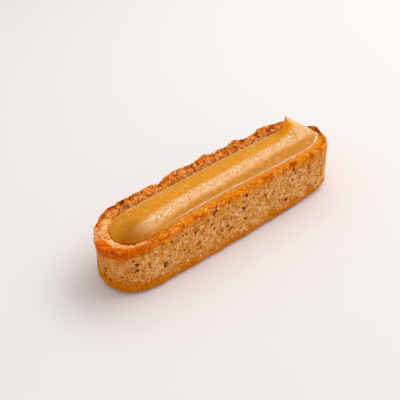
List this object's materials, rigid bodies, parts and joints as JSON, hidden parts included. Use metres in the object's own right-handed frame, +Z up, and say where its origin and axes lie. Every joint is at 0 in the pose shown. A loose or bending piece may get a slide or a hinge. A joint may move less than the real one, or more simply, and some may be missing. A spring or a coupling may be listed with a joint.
{
  "type": "financier cake",
  "caption": "Oblong baked almond cake with a craggy browned rim and a long trough, filled with a piped bead whose end is pulled up into a small leaning peak.",
  "frame": {"origin": "on the surface that the cake stands on, under the middle of its box", "axes": "+X along the cake towards the end with the peak, +Y from its front to its back, +Z up"},
  "size_m": [0.1102, 0.0328, 0.0281],
  "materials": {
    "baked_crumb": "baked almond sponge: porous, mottled, browned at the rim and the lower edge, buttery",
    "piped_filling": "set piped cream, amber, smooth with a soft gloss"
  },
  "bodies": {
    "root": {"cake": "baked_crumb", "filling": "piped_filling"}
  },
  "joints": []
}
